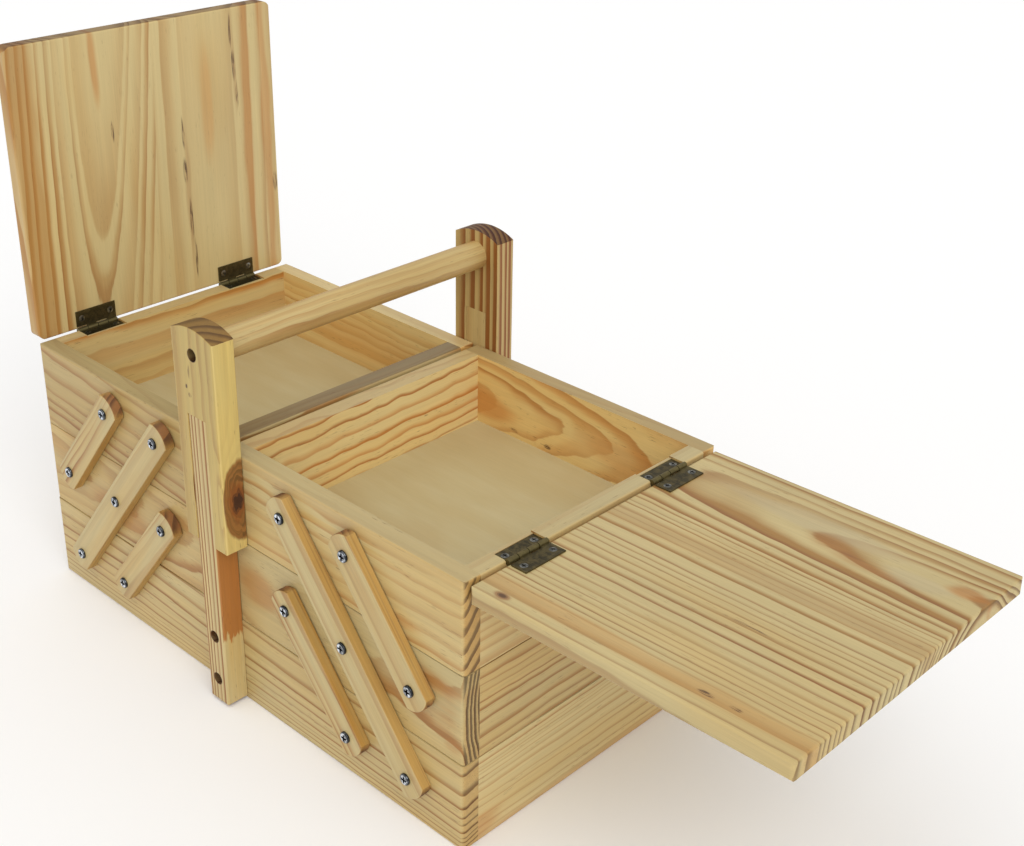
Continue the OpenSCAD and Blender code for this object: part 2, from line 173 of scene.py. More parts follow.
def noise(tree, socket, scale, seed=0.0, detail=2.0, rough=0.5, colour=False):
    """Noise of a vector in mm; scale is the feature size along each axis in mm."""
    n = tree.nodes.new("ShaderNodeTexNoise")
    n.inputs["Scale"].default_value = 1
    n.inputs["Detail"].default_value = detail
    n.inputs["Roughness"].default_value = rough
    shift = (seed * 13.37 % 97, seed * 7.13 % 89, seed * 3.71 % 83)
    tree.links.new(scaled(tree, socket, tuple(1 / s for s in scale), shift), n.inputs["Vector"])
    if colour:
        c = tree.nodes.new("ShaderNodeSeparateColor")
        tree.links.new(n.outputs["Color"], c.inputs[0])
        return [Num(tree, s) for s in c.outputs]
    return Num(tree, n.outputs["Fac"])


def noise1(tree, x, seed=0.0, detail=0.0):
    n = tree.nodes.new("ShaderNodeTexNoise")
    n.noise_dimensions = "1D"
    n.inputs["Scale"].default_value = 1
    n.inputs["Detail"].default_value = detail
    put(tree, n.inputs["W"], x + seed * 5.37)
    return Num(tree, n.outputs["Fac"])


def chance(tree, x, seed=0.0):
    """Three random numbers for a whole number x."""
    n = tree.nodes.new("ShaderNodeTexWhiteNoise")
    n.noise_dimensions = "1D"
    put(tree, n.inputs["W"], x + (seed * 3.1 + 0.5))
    c = tree.nodes.new("ShaderNodeSeparateColor")
    tree.links.new(n.outputs["Color"], c.inputs[0])
    return [Num(tree, s) for s in c.outputs]


def mix(tree, fac, a, b, blend="MIX"):
    """Mix of two colours; a colour is a socket or a linear triple."""
    n = tree.nodes.new("ShaderNodeMix")
    n.data_type = "RGBA"
    n.blend_type = blend
    n.clamp_factor = True
    put(tree, n.inputs[0], fac)
    for i, c in ((6, a), (7, b)):
        if isinstance(c, tuple):
            n.inputs[i].default_value = (*c, 1)
        else:
            put(tree, n.inputs[i], c)
    return n.outputs[2]


def curve(x, points):
    """x through a smooth curve; points hold x and y, each within 0 to 1."""
    n = x.tree.nodes.new("ShaderNodeFloatCurve")
    put(x.tree, n.inputs["Value"], x)
    c = n.mapping.curves[0]
    while len(c.points) < len(points):
        c.points.new(0.5, 0.5)
    for p, (a, b) in zip(c.points, points):
        p.location = (a, b)
        p.handle_type = "AUTO_CLAMPED"
    n.mapping.update()
    return Num(x.tree, n.outputs[0])


def hexa(code):
    """Linear colour of an sRGB code."""
    out = []
    for i in (0, 2, 4):
        c = int(code[i:i + 2], 16) / 255
        out.append(c / 12.92 if c <= 0.04045 else ((c + 0.055) / 1.055) ** 2.4)
    return tuple(out)


def new_material(name):
    m = bpy.data.materials.new(name)
    m.use_nodes = True
    t = m.node_tree
    t.nodes.clear()
    out = t.nodes.new("ShaderNodeOutputMaterial")
    shader = t.nodes.new("ShaderNodeBsdfPrincipled")
    t.links.new(shader.outputs[0], out.inputs[0])
    return m, t, shader


def object_mm(tree):
    """The rest-frame position in mm, and the object-space normal."""
    n = tree.nodes.new("ShaderNodeTexCoord")
    return scaled(tree, n.outputs["Object"], (1000, 1000, 1000)), n.outputs["Normal"]


def bump(tree, shader, height, strength, distance):
    n = tree.nodes.new("ShaderNodeBump")
    n.inputs["Strength"].default_value = strength
    n.inputs["Distance"].default_value = distance
    put(tree, n.inputs["Height"], height)
    tree.links.new(n.outputs[0], shader.inputs["Normal"])


# ---------------------------------------------------------------- wood
EARLY = hexa("C6B27E")
EARLY_WARM = hexa("C7AA6D")
TAN = hexa("B08248")
LATE = hexa("94642C")
LATE_RED = hexa("8E5826")
HONEY = hexa("B27636")
DARK = hexa("42261A")


def blob(t, u, v, at, size):
    """1 at a point of the face and falling off smoothly, size = (along, across)."""
    a = (u - at[0]) * (1 / size[0])
    b = (v - at[1]) * (1 / size[1])
    return math_node(t, "EXPONENT", -(a * a + b * b))


def rings(t, u, v, w, low, mid, fine, s, q_vec=None, seed=0.0):
    """Ring phase of a stave: s holds its pith line, tilt, spacing and wobble."""
    a, b = s.get("low", 9.0), s.get("mid", 2.2)
    dv = v - s["v0"] - u * s.get("tv", 0.0) + s.get("tv", 0.0) * s.get("u0", 0.0)
    dv = dv + (low[0] - 0.5) * a + (mid[0] - 0.5) * b
    tilt = (u - s.get("u0", 0.0)) * s.get("tw", 0.0)
    if "level" in s:  # the pith stays level for the rings beyond this part of the width
        tilt = tilt * step(v, s["level"][0], s["level"][1], 1.0, 0.0)
    dw = w - s["w0"] - tilt
    dw = dw + (low[1] - 0.5) * a + (mid[1] - 0.5) * b
    r = math_node(t, "SQRT", dv * dv + dw * dw) + (fine - 0.5) * s.get("fine", 0.5)
    if s.get("ripple"):
        r = r + (noise(t, q_vec, (24, 34, 34), seed + 3.3, 1.0) - 0.5) * (2 * s["ripple"])
    for at, size, amount in s.get("swells", ()):
        r = r + blob(t, u, v, at, size) * amount
    if "curve" in s:  # radius in mm to ring number
        pts = s["curve"]
        r1, n1 = pts[-1]
        q = curve(r * (1 / r1), [(x / r1, y / n1) for x, y in pts]) * n1
    else:
        gap = s["gap"]
        q = r * (1 / gap) + (noise1(t, r * (1 / (gap * 4.5)), s.get("seed", 0)) - 0.5) * s.get("vary", 2.6)
    return q


def strand_of(t, q_vec, seed):
    return step(noise(t, q_vec, (80, 3.5, 3.5), seed + 41.0, 2.0), 0.35, 0.7)


def wood(name, axes, staves, seed, contrast=1.0, tone=0.0, end=1.0, split_at=None, patches=(),
         ticks=(), knots=(), side_knots=(), side_patch=None, fade=0.45, ring_lo=0.10, lines=0.55, pale=0.0,
         speck=1.0, end_tint=None, end_lines=0.6, rim=None, holes=(), halo=None, boost=(), seams=(), narrow=None, grain=1.0, flank=None, crisp=(0.35, 0.85), end_dark=0.5,
         early=EARLY, early_warm=EARLY_WARM, tan=TAN, late=LATE, late_red=LATE_RED):
    """Pine: a solid ring pattern with fibres, resin canals, patches and darker end grain.
    axes are the indices of the grain, face-width and thickness axes."""
    m, t, shader = new_material(name)
    pos, normal = object_mm(t)
    xyz = split(t, pos)
    n_axes = split(t, normal)
    u, v, w = (xyz[i] for i in axes)
    q_vec = vec(t, u, v, w)
    low = noise(t, q_vec, (230, 75, 75), seed, 1.5, colour=True)
    mid = noise(t, q_vec, (70, 15, 15), seed + 1.7, 2.0, colour=True)
    fine = noise(t, q_vec, (26, 1.6, 1.6), seed + 2.9, 2.0)
    q = rings(t, u, v, w, low, mid, fine, staves[0], q_vec, seed)
    if split_at is not None:
        side = math_node(t, "GREATER_THAN", v - split_at[0] - (u - split_at[2]) * split_at[1], 0.0)
        q2 = rings(t, u, v, w, low, mid, fine, staves[1], q_vec, seed) + 40.0
        q = q + (q2 - q) * side
    # side grain of a knot in the thickness plane draws the rings round it
    for at, size, _ in side_knots:
        q = q + blob(t, u, w, at, (size[0] * 3.0, size[1] * 2.4)) * 5.0 * step(v, 12.0, 18.0)
    index = math_node(t, "FLOOR", q)
    f = q - index
    rnd = chance(t, index, seed)
    start = rnd[0] * 0.34 + ring_lo
    if narrow:  # thinner late bands outside this ring
        start = start + step(index, narrow[0] - 0.6, narrow[0] + 0.4) * narrow[1]
    broad = step(f, start, start + 0.5) * step(f, 0.93, 1.0, 1.0, 0.0)
    line = step(f, 0.66, 0.92) * step(f, 0.94, 1.0, 1.0, 0.0)
    mask = noise(t, q_vec, (170, 38, 38), seed + 5.1, 2.0)
    amp = (rnd[1] * 0.6 + 0.4) * step(mask, 0.32, 0.66, fade, 1.0) * contrast
    for at, size, gain in boost:
        amp = amp * (blob(t, u, v, at, size) * gain + 1.0)
    up = step(n_axes[2], 0.6, 0.95)
    if rim:
        amp = amp * (1.0 - up * rim[1])
    beside = step(n_axes[axes[1]], 0.5, 0.8)
    # flank[1] fades the rings on the side faces facing along the width
    if flank:
        amp = amp * (1.0 - beside * flank[1])
    k = broad * amp
    edge_line = line * amp * ((rnd[2] * 0.7 + 0.3) * lines)
    # colour
    warm = noise(t, q_vec, (150, 38, 38), seed + 8.3, 2.0)
    ground = mix(t, step(warm, 0.35, 0.7) * 0.8 + tone, early, early_warm)
    col = mix(t, k * 0.95, ground, tan)
    col = mix(t, edge_line, col, mix(t, rnd[2], late, late_red))
    for at, size, colour, amount in patches:
        edge = blob(t, u + (mid[2] - 0.5) * 26.0, v + (mid[0] - 0.5) * 9.0, at, size)
        col = mix(t, step(edge, 0.25, 0.8) * amount, col, colour)
    if side_patch:
        lo_u, hi_u, colour, amount = side_patch
        teeth = noise(t, vec(t, u * 0.12, w, v), (1, 2.2, 2.2), seed + 31.0, 1.0)
        inside = step(u + (teeth - 0.5) * 26.0, lo_u - 2, lo_u + 2) * step(u, hi_u - 3, hi_u + 3, 1.0, 0.0)
        col = mix(t, beside * 0.8, col, mix(t, strand_of(t, q_vec, seed), early, early_warm))
        col = mix(t, inside * beside * amount, col, mix(t, k, colour, tuple(c * 0.75 for c in colour)))
    if rim:
        col = mix(t, up * rim[2], col, rim[0])
    fibre = noise(t, q_vec, (45, 0.75, 0.75), seed + 11.9, 3.0, 0.6)
    strand = noise(t, q_vec, (110, 3.2, 3.2), seed + 14.2, 2.0)
    cloud = noise(t, q_vec, (90, 45, 45), seed + 27.0, 1.0)
    # The brightness term below lifts or lowers a whole board: mostly its own tone, on some tray walls painted light or
    # painted shade.
    shade = (fibre - 0.5) * (0.3 * grain) + (strand - 0.5) * (0.24 * grain) + (cloud - 0.5) * 0.14 + 1.0 + pale
    col = mix(t, 1.0, col, vec(t, shade, shade, shade), "MULTIPLY")
    # painted highlight: those side faces are multiplied by flank[0], for the light falling on that side
    if flank:
        col = mix(t, beside, col, mix(t, 1.0, col, flank[0], "MULTIPLY"))
    # resin canals: short dark dashes along the grain
    canal = noise(t, q_vec, (7.0, 0.55, 0.55), seed + 17.3, 0.0)
    where = noise(t, q_vec, (40, 6, 6), seed + 19.9, 1.0)
    dash = step(canal, 0.70, 0.78) * step(where, 0.5, 0.62) * (0.5 * speck)
    col = mix(t, dash, col, hexa("6B4724"))
    if ticks:
        shreds = step(noise(t, q_vec, (11.0, 0.5, 0.5), seed + 29.0, 1.0), 0.48, 0.56)
    for at, size in ticks:
        mark = step(blob(t, u, v + (mid[1] - 0.5) * 4.0, at, (size[0] * 1.3, size[1] * 2.0)), 0.25, 0.75)
        col = mix(t, mark * 0.28, col, hexa("9A7240"))
        col = mix(t, mark * shreds * 0.85, col, DARK)
    if halo:
        at, size, colour, amount = halo
        rag = noise(t, q_vec, (16, 6, 6), seed + 33.0, 2.0, colour=True)
        near = blob(t, u + (rag[0] - 0.5) * 9.0, w + (rag[1] - 0.5) * 3.0, at, size) * beside
        angle = math_node(t, "ARCTAN2", (w - at[1]) * 2.2, u - at[0])
        streak = step(noise1(t, angle * 0.7 + rag[2] * 2.4 + near * 9.0, seed + 2.0, 2.0), 0.36, 0.66)
        col = mix(t, step(near, 0.36, 0.46) * amount, col, mix(t, streak, colour, tuple(c * 0.5 for c in colour)))
    for plane, group in ((v, knots), (w, side_knots)):
        for at, size, amount in group:
            near = blob(t, u + (mid[2] - 0.5) * 5.0, plane + (mid[1] - 0.5) * 4.0, at, size)
            if group is side_knots:
                rag = noise(t, q_vec, (9, 3.5, 3.5), seed + 37.0, 2.0, colour=True)
                near = blob(t, u + (rag[0] - 0.5) * 16.0, plane + (rag[1] - 0.5) * 6.0, at, size)
                near = near * beside
            hoop = math_node(t, "SINE", near * 26.0) * 0.14
            col = mix(t, step(near, 0.02, 0.35) * (0.8 * amount), col, hexa("8A4E22"))
            col = mix(t, step(near + hoop * near, 0.30, 0.85) * amount, col, DARK)
    # painted shade: faces other than top faces turn dark brown within 0.6 mm of each tier seam, for the shade in the
    # seam gaps, with some lacquer pooled there
    for z in seams:
        near = math_node(t, "ABSOLUTE", xyz[2] - z)
        col = mix(t, step(near, 0.15, 0.6, 0.65, 0.0) * (1.0 - up), col, hexa("3E2618"))
    # painted shade: the counterbores and a 0.5 mm ring round them turn dark brown
    for x, z, r in holes:
        a, b = xyz[0] - x, xyz[2] - z
        d = math_node(t, "SQRT", a * a + b * b)
        col = mix(t, step(d, r + 0.1, r + 0.5, 0.8, 0.0), col, hexa("4A2A18"))
    # end grain
    facing = math_node(t, "ABSOLUTE", n_axes[axes[0]])
    ends = step(facing, 0.45, 0.92)
    rough_end = noise(t, pos, (0.6, 0.6, 0.6), seed + 23.0, 2.0)
    tint = end_tint or (0.86, 0.72, 0.56)
    deep = tuple(1 - (1 - c) * end for c in tint)
    end_col = mix(t, step(f, crisp[0], crisp[1]) * step(f, 0.93, 1.0, 1.0, 0.0) * end_lines, deep, tuple(c * end_dark for c in deep))
    end_shade = (rough_end - 0.5) * 0.25 + 1.0
    end_col = mix(t, 1.0, end_col, vec(t, end_shade, end_shade, end_shade), "MULTIPLY")
    col = mix(t, 1.0, col, mix(t, ends, (1.0, 1.0, 1.0), end_col), "MULTIPLY")
    put(t, shader.inputs["Base Color"], col)
    put(t, shader.inputs["Roughness"], (fibre - 0.5) * 0.16 + k * 0.05 + ends * 0.14 + 0.42)
    shader.inputs["Specular IOR Level"].default_value = 0.42
    bump(t, shader, k * 0.25 + fibre * 0.5 - dash, 0.16, 0.00025)
    return m


XZY, XYZ, ZYX, YXZ, YZX, ZXY = (0, 2, 1), (0, 1, 2), (2, 1, 0), (1, 0, 2), (1, 2, 0), (2, 0, 1)
RIM = (hexa("AD9D73"), 0.35, 0.65)
# heights in mm of the tier seams that get painted shade on the boards
SEAMS = (60.15, 120.15)


def dress(node, material):
    o = NODES[node]
    o.data.materials.clear()
    o.data.materials.append(material)


def board(node, axes, stave, seed, **more):
    if "post" not in node and "bar" not in node:
        more["seams"] = SEAMS
    dress(node, wood("pine_" + node, axes, [stave], seed, **more))


# Base: long boards run along X, end boards along Y
board("base_front_board", XZY, dict(
    v0=190, w0=-135, tv=-0.012, low=5, ripple=0.5, swells=[((-110, 44), (120, 20), 6.0)],
    curve=[(0, 0), (136.7, 19.85), (150, 20.85), (156.5, 21.4), (162.7, 22.2), (167.6, 23.0), (173, 24.0), (178, 25.0),
           (181.4, 26.0), (184.4, 27.0), (187.8, 28.0), (212, 35)]),
    3.1, contrast=1.5, end=0.75, end_lines=0.9, crisp=(0.55, 0.8), fade=0.6, narrow=(0, 0.28), tan=hexa("A0763E"), pale=-0.05, tone=0.12)
board("base_back_board", XZY, dict(v0=-60, w0=150, gap=6.0), 4.6)
board("base_right_board", YZX, dict(
    v0=140, w0=150, tv=0.0, low=4, ripple=0.6,
    curve=[(0, 0), (100.1, 14.85), (102.7, 15.85), (104.9, 16.85), (106.9, 17.85), (109.9, 18.85), (113.4, 19.85), (118, 20.85),
           (124.3, 21.85), (128.4, 22.85), (135.6, 23.85), (142, 24.85), (146.6, 25.85), (160, 28.5)]),
    5.9, contrast=1.2, tone=-0.15, fade=0.65, narrow=(0, 0.2), patches=[((-98, 10), (22, 10), HONEY, 0.5), ((0, 0), (150, 5), HONEY, 0.4)], pale=0.05)
board("base_left_board", YZX, dict(v0=-60, w0=-150, gap=5.0), 7.3)
# Middle trays
board("right_mid_tray_front", XZY, dict(v0=90, w0=44, tw=-0.034, u0=100, gap=3.3, vary=1.0, mid=2.0, low=8, ripple=0.8), 11.4,
      contrast=0.95, narrow=(0, 0.3), pale=-0.085, tone=0.05, end=1.0, end_lines=1.0, end_tint=(0.86, 0.76, 0.64), end_dark=0.36, crisp=(0.34, 0.5), fade=0.3,
      boost=[((190, 84), (40, 30), 1.0), ((150, 97), (20, 9), -0.6)],
      patches=[((26, 92), (26, 16), HONEY, 0.6), ((178, 106), (34, 8), HONEY, 0.45), ((198, 70), (8, 6), HONEY, 0.3)])
board("left_mid_tray_front", XZY, dict(v0=95, w0=-34, tw=0.05, u0=-90, gap=4.0, vary=1.0, mid=2.6, low=8, ripple=1.0), 12.8,
      contrast=1.1, pale=-0.05, tone=0.4, patches=[((-120, 84), (40, 14), HONEY, 0.5), ((-40, 106), (36, 8), HONEY, 0.4)])
board("right_mid_tray_back", XZY, dict(v0=10, w0=60, gap=6.5), 14.2)
board("left_mid_tray_back", XZY, dict(v0=160, w0=70, gap=7.0), 15.9)
board("right_mid_tray_outer", YZX, dict(
    v0=175, w0=120, tv=0.015, low=5, ripple=0.8,
    curve=[(0, 0), (105.8, 19.85), (108.7, 20.85), (111.6, 21.85), (115.5, 22.85), (118.8, 23.85), (124.1, 24.85), (131.1, 25.85),
           (136.9, 26.85), (150, 29)]),
    17.5, contrast=1.5, fade=0.7, narrow=(0, 0.2), tone=0.3, pale=-0.08, tan=hexa("A67A42"))
board("left_mid_tray_outer", YZX, dict(v0=20, w0=-120, gap=6.5), 19.1)
board("right_mid_tray_inner", YZX, dict(v0=90, w0=40, gap=6.5), 20.4)
board("left_mid_tray_inner", YZX, dict(v0=90, w0=-40, gap=6.5), 22.0)
# Top trays
board("right_top_tray_front", XZY, dict(
    v0=228, w0=-203, tv=0.0, low=7, mid=3, ripple=1.2,
    curve=[(0, 0), (109.9, 4.85), (114.8, 5.85), (119.6, 6.85), (126.6, 7.85), (133.9, 8.85), (140.9, 9.85), (151.4, 11.2)]),
    24.7, contrast=1.35, narrow=(0, 0.15), rim=RIM, end=1.0, end_lines=1.0, crisp=(0.45, 0.7), end_dark=0.42, lines=0.35, pale=0.02, tone=0.05,
    boost=[((105, 177), (600, 6.5), -0.8)], patches=[((150, 132), (26, 5), HONEY, 0.4), ((95, 166), (70, 2.5), hexa("BE9A54"), 0.5)])
board("left_top_tray_front", XZY, dict(v0=232, w0=-68, tv=-0.10, u0=-200, gap=9.0, mid=4, low=12, ripple=1.5, vary=1.5), 26.3,
      contrast=1.7, narrow=(0, 0.15), rim=RIM, lines=0.5, pale=-0.165, tone=0.55, fade=0.6)
# The raised brightness of both back walls is painted light, for the light falling into the trays.
board("right_top_tray_back", XZY, dict(v0=150, w0=140, tw=0.11, u0=138, gap=7.0, mid=4, low=8, ripple=2.0), 28.9,
      contrast=1.1, rim=(hexa("8E7A52"), 0.3, 0.85), pale=0.32, tone=0.5, tan=hexa("B07C3E"), patches=[((25, 145), (30, 11), HONEY, 0.7), ((150, 150), (40, 14), HONEY, 0.4)],
      ticks=[((50, 135), (2.6, 0.9)), ((80, 134), (2.6, 0.9))])
board("left_top_tray_back", XZY, dict(v0=240, w0=130, gap=7.5, mid=5, low=12, ripple=1.5), 30.2, contrast=0.85, rim=RIM,
      pale=0.33, tone=0.6, tan=hexa("B2823F"), patches=[((-100, 150), (90, 18), hexa("B88440"), 0.4)])
board("right_top_tray_outer", YZX, dict(v0=240, w0=150, gap=6.0), 32.6, rim=RIM, pale=0.06)
board("left_top_tray_outer", YZX, dict(v0=110, w0=-150, gap=8.0, low=16, mid=5, ripple=2.0), 34.8, contrast=1.3, rim=RIM,
      pale=0.12, tone=0.3, tan=hexa("B67E3C"))
# The raised brightness of this inner wall is painted light, for the light falling into the tray.
board("right_top_tray_inner", YZX, dict(v0=258, w0=60, tv=0.03, gap=7.6, low=10, mid=5, ripple=3.2, vary=1.0), 36.1,
      contrast=1.4, ring_lo=0.36, rim=(hexa("A08C62"), 0.35, 0.7), pale=0.34, fade=0.8, tan=hexa("B47A3A"), late=hexa("8E5428"), lines=0.8)
# The dark rim colour and lowered brightness of this wall are painted shade, for the shade in the gap between the trays.
board("left_top_tray_inner", YZX, dict(v0=150, w0=-40, gap=7.5, low=16, mid=5), 38.3, contrast=1.2, rim=(hexa("7C6644"), 0.5, 0.75), pale=-0.16)

# Lids
GREY = hexa("BFAE86")
dress("right_lid", wood(
    "pine_right_lid", XYZ,
    [dict(v0=64, w0=138, tw=0.07, tv=0.02, u0=292, level=(72, 90), low=1.8, mid=0.9, fine=0.35, ripple=0.45,
          curve=[(0, 0.02), (27, 0.1), (32, 0.4), (36, 1.0), (40.9, 2.0), (46.6, 3.0), (50, 4.0), (54.5, 4.85), (57, 5.85), (60.4, 6.85),
                 (62.8, 7.85), (67.2, 8.85), (74.5, 10.85), (80.4, 11.85), (88.8, 12.85), (97, 14.85), (107.7, 16.85),
                 (113.7, 17.85), (128, 19.85), (134.7, 20.85), (142.8, 22.85), (151.5, 24.85), (155, 25.85), (164.1, 26.85), (174, 28.3)])],
    41.5, contrast=1.4, speck=0.7, lines=0.6, narrow=(4, 0.24), grain=0.9, tan=hexa("A27A42"), late=hexa("80582E"), late_red=hexa("8A5630"), fade=0.65,
    pale=-0.04, tone=-0.2,
    boost=[((250, 88), (60, 12), -0.6), ((310, 78), (60, 9), -0.45), ((236, 64), (24, 11), -0.8)],
    ticks=[((330, -34), (11, 0.5)), ((350, -91), (4, 0.8)), ((367, -91), (3, 0.7))],
    patches=[((310, 8), (300, 8), hexa("A98654"), 0.45), ((300, 74), (70, 9), GREY, 0.6), ((372, 60), (24, 8), GREY, 0.6),
             ((238, 61), (26, 6), hexa("AE8A52"), 0.25), ((317, 63), (17, 9), hexa("A87A40"), 0.6), ((345, 54), (26, 4.5), hexa("AE7E44"), 0.45),
             ((396, 68), (12, 8), HONEY, 0.7), ((310, -90), (300, 7), hexa("BC8A48"), 0.45)],
    knots=[((225, -98.5), (4, 2.2), 0.8)], end=0.0, end_lines=0.75))
dress("left_lid", wood(
    "pine_left_lid", ZYX,
    [dict(v0=-49.6, w0=-238, tw=0.065, tv=0.075, u0=206.6, low=2, mid=1.2, fine=0.4, ripple=0.4,
          curve=[(0, 0.1), (20, 0.5), (26, 0.85), (28.2, 1.0), (31, 1.95), (38.5, 2.9), (43.5, 3.9), (49.5, 4.9), (56.5, 5.9),
                 (62, 6.9), (68, 7.9), (90, 11), (140, 18)]),
     dict(v0=46, w0=-240, tv=0.02, u0=300, gap=10.0, low=8, mid=2.5, vary=1.0,
          swells=[((320, 46), (60, 12), 7.0)])],
    43.9, contrast=0.85, speck=0.5, lines=0.5, grain=0.65, split_at=(-1.0, 0.045, 250), end=1.0, end_tint=(0.46, 0.38, 0.33), fade=0.4,
    pale=0.09, tone=-0.4, tan=hexa("A87C42"),
    boost=[((290, -97), (600, 13), 2.2), ((290, 40), (400, 30), -0.45), ((330, -48), (110, 22), -0.45)],
    patches=[((290, -96), (600, 12), hexa("A8783A"), 0.65), ((361, -42), (34, 4), HONEY, 0.6), ((345, 70.5), (40, 2.4), hexa("A88454"), 0.5), ((250, 25), (60, 3), hexa("A88454"), 0.45),
             ((300, 80), (170, 4), HONEY, 0.5), ((270, 96), (190, 4.5), HONEY, 0.55), ((318, 45), (48, 6.5), hexa("C08A48"), 0.4)],
    ticks=[((365, 68.5), (10, 0.6)), ((340, 70), (9, 0.8)), ((318, 71.5), (8, 0.6)), ((300, 23.5), (9, 0.7)), ((272, 23), (8, 0.9)),
           ((235, 25.5), (14, 0.8)), ((205, 27), (12, 0.6)), ((312, -32), (6, 0.7)), ((247, 101), (6, 1.2))]))

# Links: grain along the link, which leans by the pitch of the pivots
LEAN = math.atan2(63.5, 52)


def link_wood(node, right, seed, **more):
    """Pine whose grain runs along a leaning link."""
    m, t, shader = new_material("pine_" + node)
    pos, normal = object_mm(t)
    x, y, z = split(t, pos)
    sx = 1.0 if right else -1.0
    # right links run from low outside to high inside
    ux, uz = -math.cos(LEAN) * sx, math.sin(LEAN)
    u = x * ux + z * uz
    v = x * uz - z * ux
    nx, ny, nz = split(t, normal)
    facing = math_node(t, "ABSOLUTE", nx * ux + nz * uz)
    q_vec = vec(t, u, v, y)
    low = noise(t, q_vec, (160, 50, 50), seed, 1.5, colour=True)
    mid = noise(t, q_vec, (60, 10, 10), seed + 1.7, 2.0, colour=True)
    fine = noise(t, q_vec, (26, 1.4, 1.4), seed + 2.9, 2.0)
    q = rings(t, u, v, y, low, mid, fine, more["stave"], q_vec, seed)
    index = math_node(t, "FLOOR", q)
    f = q - index
    rnd = chance(t, index, seed)
    start = rnd[0] * 0.3 + 0.15
    broad = step(f, start, start + 0.5) * step(f, 0.93, 1.0, 1.0, 0.0)
    line = step(f, 0.66, 0.92) * step(f, 0.94, 1.0, 1.0, 0.0)
    mask = noise(t, q_vec, (90, 16, 16), seed + 5.1, 1.0)
    amp = (rnd[1] * 0.6 + 0.4) * step(mask, 0.35, 0.65, 0.35, 1.0) * more.get("contrast", 0.6)
    k = broad * amp
    warm = noise(t, q_vec, (90, 14, 14), seed + 8.3, 2.0)
    col = mix(t, k * 0.8, mix(t, step(warm, 0.35, 0.7) * 0.7, EARLY, EARLY_WARM), TAN)
    col = mix(t, line * amp * 0.5, col, mix(t, rnd[2], LATE, LATE_RED))
    for at, size, colour, amount in more.get("patches", ()):
        edge = blob(t, u + (mid[2] - 0.5) * 14.0, v + (mid[0] - 0.5) * 6.0, at, size)
        col = mix(t, step(edge, 0.25, 0.8) * amount, col, colour)
    sides = step(math_node(t, "ABSOLUTE", ny), 0.3, 0.75, 1.0, 0.0)
    side_line = step(noise(t, q_vec, (120, 1.6, 1.6), seed + 44.0, 1.0), 0.5, 0.7)
    side_col = mix(t, side_line * 0.7, hexa("C09448"), hexa("93622E"))
    col = mix(t, sides * 0.72, col, side_col)
    fibre = noise(t, q_vec, (40, 0.7, 0.7), seed + 11.9, 3.0, 0.6)
    strand = noise(t, q_vec, (90, 2.6, 2.6), seed + 14.2, 2.0)
    shade = (fibre - 0.5) * 0.26 + (strand - 0.5) * 0.24 + 0.925
    col = mix(t, 1.0, col, vec(t, shade, shade, shade), "MULTIPLY")
    ends = step(facing, 0.62, 0.95)
    end_col = mix(t, step(f, 0.3, 0.85), hexa("8A5A34"), hexa("573220"))
    col = mix(t, ends * more.get("end", 0.88), col, end_col)
    put(t, shader.inputs["Base Color"], col)
    put(t, shader.inputs["Roughness"], (fibre - 0.5) * 0.14 + ends * 0.15 + 0.42)
    shader.inputs["Specular IOR Level"].default_value = 0.42
    bump(t, shader, k * 0.3 + fibre * 0.5, 0.18, 0.0003)
    return m


for i, (side, right) in enumerate((("left", False), ("right", True))):
    for j, (face, yy) in enumerate((("front", -106), ("back", 106))):
        for n, (kind, gap, off, con) in enumerate((("long", 7.0, 60, 0.6 if right else 0.3), ("upper", 4.5, 30, 0.9 if right else 1.3),
                                                   ("lower", 3.6, 18, 1.6 if right else 0.8))):
            node = f"{side}_{face}_{kind}_link"
            centre = 115 * (math.sin(LEAN)) + 97 * math.cos(LEAN)
            v_mid = (centre if right else -centre) + {"long": 0, "upper": 36 if right else -36, "lower": -40 if right else 40}[kind]
            more = {}
            if kind == "lower" and not right:
                u_mid = 89 * math.cos(LEAN) + 65 * math.sin(LEAN)
                more["patches"] = [((u_mid + 8, v_mid + 2), (16, 5), HONEY, 0.75)]
            dress(node, link_wood(node, right, 50 + 7.7 * n + 3.3 * i + 1.9 * j,
                                  stave=dict(v0=v_mid + off, w0=yy - 22 * (1 if j else -1), gap=gap, low=6, mid=2, fine=0.4),
                                  contrast=con, **more))

# Handle: grain along Z in the posts, along Y in the bar
# post counterbores as x, z and radius in mm; wood() paints shade in them
POST_HOLES = [(0, 19, 4.0), (0, 51, 4.0), (0, 245, 4.0)]
board("front_lower_post", ZXY, dict(v0=-40, w0=-112, gap=3.1, low=3, mid=1.0, vary=1.6), 61.2, contrast=1.7, fade=0.85,
      holes=POST_HOLES, tan=hexa("9C6C36"), late=hexa("7E5226"), lines=0.8, narrow=(0, 0.08),
      side_patch=(51, 121, hexa("A86729"), 0.9))
board("back_lower_post", ZXY, dict(v0=90, w0=60, gap=7.0, low=4, mid=1.2), 63.7, holes=POST_HOLES, contrast=0.4, pale=-0.04, tone=0.3)
